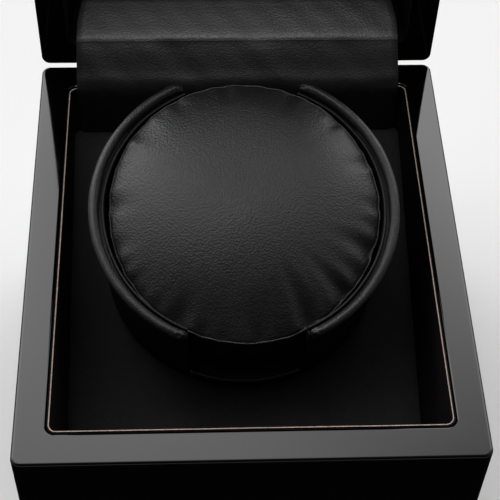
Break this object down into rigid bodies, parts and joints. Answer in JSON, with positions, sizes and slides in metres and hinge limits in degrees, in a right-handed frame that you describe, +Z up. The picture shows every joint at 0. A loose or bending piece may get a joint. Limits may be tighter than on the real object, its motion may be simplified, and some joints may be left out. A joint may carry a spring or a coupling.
{
  "type": "watch winder box",
  "caption": "Black lacquered box with a hinged lid open to the rear, a sloping inner deck and a padded round cup that slowly turns a watch on its cushion.",
  "frame": {"origin": "centre of the whole object's box seen from above, on the plane under the feet, with the lid open", "axes": "+X to the right as seen from the front, +Y to the rear, +Z up"},
  "size_m": [0.14, 0.207, 0.2659],
  "materials": {
    "lacquered_board": "board under clear piano lacquer, black, mirror gloss",
    "leatherette": "black pebbled leatherette, low sheen",
    "softwood": "sawn softwood rail, unfinished",
    "rubber": "moulded black rubber",
    "steel": "zinc plated steel",
    "brass": "plain brass",
    "black_plastic": "fine textured black moulding",
    "circuit_board": "green solder mask"
  },
  "bodies": {
    "base": {"base_case": "lacquered_board", "bearing_bush": "brass", "bearing_plate": "steel", "board_tray": "black_plastic", "bottom_panel": "lacquered_board", "bottom_screw_front_left": "steel", "bottom_screw_front_right": "steel", "bottom_screw_rear_left": "steel", "bottom_screw_rear_right": "steel", "control_board": "circuit_board", "control_plate": "black_plastic", "dc_jack": "black_plastic", "deck_panel": "leatherette", "deck_rail_left": "softwood", "deck_rail_right": "softwood", "foot_front_left": "rubber", "foot_front_right": "rubber", "foot_rear_left": "rubber", "foot_rear_right": "rubber", "gearmotor_can": "steel", "gearmotor_gearbox": "steel", "hinge_flap": "leatherette", "hinge_leaf_base_left": "brass", "hinge_leaf_base_right": "brass", "hinge_pin_left": "brass", "hinge_pin_right": "brass", "liner_front": "leatherette", "liner_left": "leatherette", "liner_rear": "leatherette", "liner_right": "leatherette", "mode_switch": "black_plastic", "motor_bracket": "steel", "plate_screw_left": "steel", "plate_screw_right": "steel", "switch_housing": "black_plastic"},
    "lid": {"hinge_leaf_lid_left": "brass", "hinge_leaf_lid_right": "brass", "lid_case": "lacquered_board", "lid_liner_front": "leatherette", "lid_liner_left": "leatherette", "lid_liner_rear": "leatherette", "lid_liner_right": "leatherette", "lid_pad": "leatherette"},
    "turntable": {"cup_shell": "leatherette", "rim_roll_left": "leatherette", "rim_roll_right": "leatherette", "cup_lining_left": "leatherette", "cup_lining_right": "leatherette", "notch_trim_front": "leatherette", "notch_trim_rear": "leatherette", "spindle": "steel", "hub_screw": "steel", "drive_gear": "black_plastic"},
    "pinion": {"motor_shaft": "steel", "motor_pinion": "brass"},
    "cushion": {"cushion": "leatherette"},
    "knob": {"mode_knob": "black_plastic"},
    "rocker": {"power_rocker": "black_plastic"}
  },
  "joints": [
    {"name": "lid_hinge", "type": "hinge", "parent": "base", "child": "lid", "pos_m": [0, 0.0593, 0.10315], "axis": [1, 0, 0], "range_deg": [0, 90], "deforming": ["hinge_flap"]},
    {"name": "turntable_spin", "type": "hinge", "parent": "base", "child": "turntable", "pos_m": [0, -0.00315, 0.06777], "axis": [0, -0.2661, 0.964], "continuous": true},
    {"name": "pinion_spin", "type": "hinge", "parent": "base", "child": "pinion", "pos_m": [0.0289, -0.00315, 0.06777], "axis": [0, -0.2661, 0.964], "continuous": true},
    {"name": "cushion_lift", "type": "slide", "parent": "turntable", "child": "cushion", "axis": [0, -0.2661, 0.964], "range_m": [0, 0.008]},
    {"name": "mode_turn", "type": "hinge", "parent": "base", "child": "knob", "pos_m": [0, 0.05895, 0.0275], "axis": [0, 1, 0], "range_deg": [0, 270]},
    {"name": "power_rock", "type": "hinge", "parent": "base", "child": "rocker", "pos_m": [0.021, 0.05775, 0.0275], "axis": [1, 0, 0], "range_deg": [-14, 0]}
  ],
  "couplings": [
    {"joint": "pinion_spin", "follows": "turntable_spin", "ratio": -5}
  ]
}
